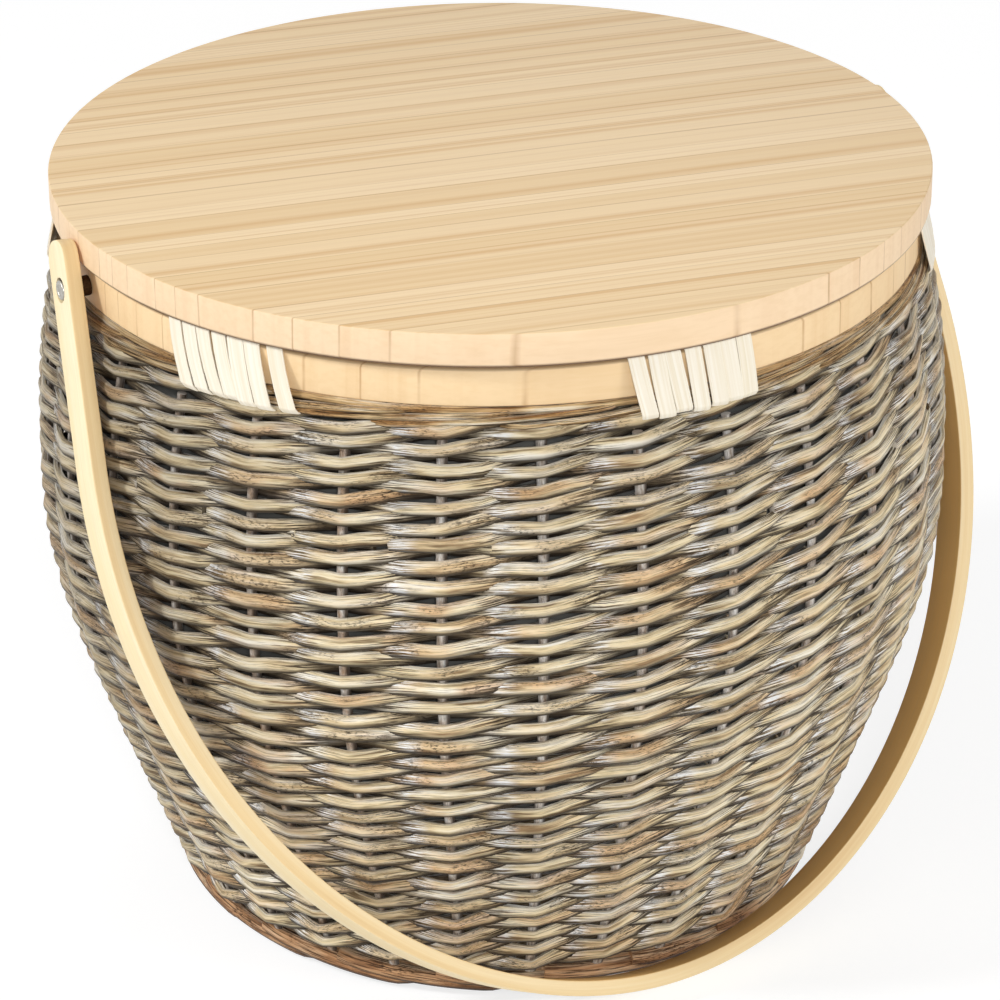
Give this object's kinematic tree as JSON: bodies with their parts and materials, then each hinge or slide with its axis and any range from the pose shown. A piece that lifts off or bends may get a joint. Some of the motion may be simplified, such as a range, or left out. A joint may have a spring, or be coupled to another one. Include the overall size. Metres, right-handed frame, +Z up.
{
  "type": "picnic basket",
  "caption": "Round willow picnic basket with a bulging woven wall, a loose pine board lid on a cane-bound pine rim, a cloth liner and a swinging bent-wood handle.",
  "frame": {"origin": "on the floor, under the middle of the basket", "axes": "+Z up through the lid, X along the handle's pivot axis, the handle hangs to -Y, which is the front"},
  "size_m": [0.435, 0.4226, 0.3551],
  "materials": {
    "pine": "pale edge-glued pine, satin",
    "bent_wood": "pale bent strip, satin",
    "willow": "grey-brown washed willow rods",
    "willow_stake": "grey-brown washed willow rods",
    "brown_rod": "reddish-brown willow rods",
    "cane": "flat ivory cane",
    "liner_cloth": "dark slate cloth",
    "steel": "plain zinc-plated steel"
  },
  "bodies": {
    "basket": {"stake_01": "willow_stake", "stake_02": "willow_stake", "stake_03": "willow_stake", "stake_04": "willow_stake", "stake_05": "willow_stake", "stake_06": "willow_stake", "stake_07": "willow_stake", "stake_08": "willow_stake", "stake_09": "willow_stake", "stake_10": "willow_stake", "stake_11": "willow_stake", "stake_12": "willow_stake", "stake_13": "willow_stake", "stake_14": "willow_stake", "stake_15": "willow_stake", "stake_16": "willow_stake", "stake_17": "willow_stake", "stake_18": "willow_stake", "stake_19": "willow_stake", "stake_20": "willow_stake", "stake_21": "willow_stake", "stake_22": "willow_stake", "stake_23": "willow_stake", "stake_24": "willow_stake", "stake_25": "willow_stake", "stake_26": "willow_stake", "stake_27": "willow_stake", "stake_28": "willow_stake", "stake_29": "willow_stake", "stake_30": "willow_stake", "base_cross": "willow_stake", "cane_binding_1": "cane", "cane_binding_2": "cane", "cane_binding_3": "cane", "cane_binding_4": "cane", "cane_binding_5": "cane", "cane_binding_6": "cane", "pivot_spacer_left": "steel", "pivot_spacer_right": "steel", "pivot_washer_left": "steel", "pivot_washer_right": "steel", "pivot_screw_left": "steel", "pivot_screw_right": "steel", "lower_siding": "willow", "upper_siding": "willow", "base_weave": "willow", "foot_border": "brown_rod", "top_border": "brown_rod", "liner_floor": "liner_cloth", "liner_wall": "liner_cloth", "liner_hem": "liner_cloth", "rim_ring": "pine"},
    "lid": {"lid_board": "pine", "lid_locating_disc": "pine", "lid_screw_1": "steel", "lid_screw_2": "steel", "lid_screw_3": "steel", "lid_screw_4": "steel"},
    "handle": {"handle": "bent_wood"}
  },
  "joints": [
    {"name": "handle_swing", "type": "hinge", "parent": "basket", "child": "handle", "pos_m": [0, 0, 0.32875], "axis": [-1, 0, 0], "range_deg": [0, 304.9]},
    {"name": "lid_lift", "type": "slide", "parent": "basket", "child": "lid", "axis": [0, 0, 1], "range_m": [0, 0.14]}
  ]
}
